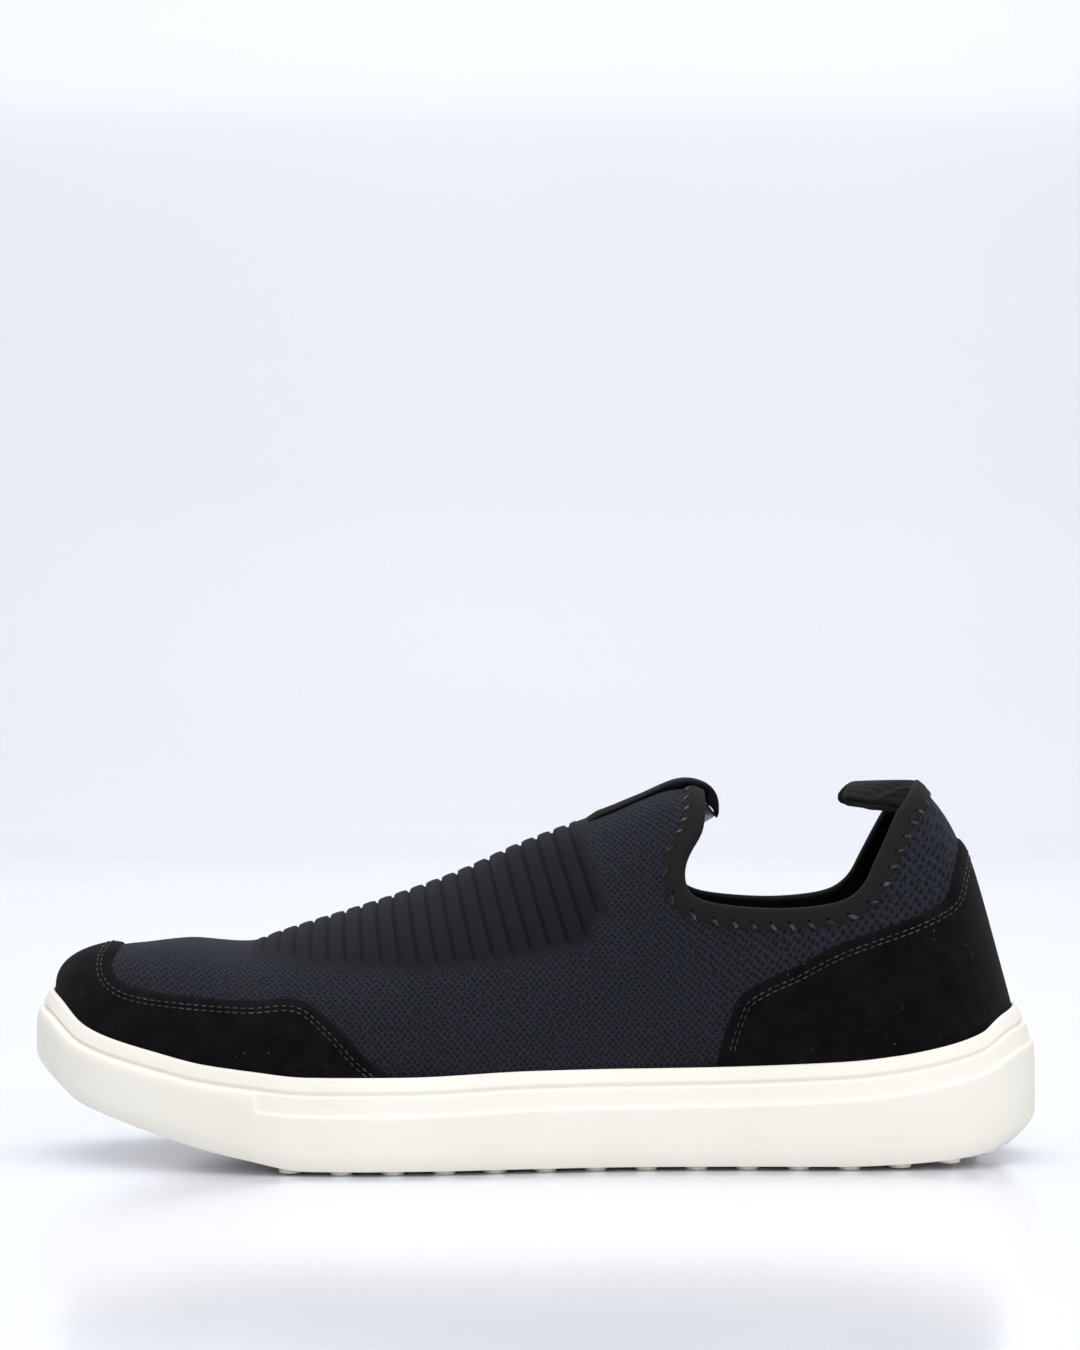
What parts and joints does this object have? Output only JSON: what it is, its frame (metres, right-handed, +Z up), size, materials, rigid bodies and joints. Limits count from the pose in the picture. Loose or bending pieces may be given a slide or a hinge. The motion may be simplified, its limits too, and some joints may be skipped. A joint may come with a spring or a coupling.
{
  "type": "slip-on sneaker",
  "caption": "Low slip-on sneaker, left foot: ribbed knit upper, suede toe guard and heel counter, bound collar, pull loop, moulded cup sole.",
  "frame": {"origin": "on the floor, under the middle of the shoe's box", "axes": "+Z up, toe towards -X, heel towards +X, outer (lateral) side towards -Y"},
  "size_m": [0.2988, 0.1031, 0.1141],
  "materials": {
    "sole_rubber": "moulded, satin, off-white",
    "insole_cloth": "black brushed cloth over foam",
    "knit": "charcoal-navy engineered knit with small holes",
    "suede": "near-black suede, matt",
    "binding_tape": "warm charcoal elastic tape, fine ribs",
    "tab_strip": "smooth dark strip",
    "webbing": "ribbed charcoal webbing"
  },
  "bodies": {
    "root": {"sole": "sole_rubber", "insole": "insole_cloth", "upper": "knit", "toe_guard": "suede", "heel_counter": "suede", "collar_binding": "binding_tape", "tongue_tab": "tab_strip", "heel_loop": "webbing"}
  },
  "joints": []
}
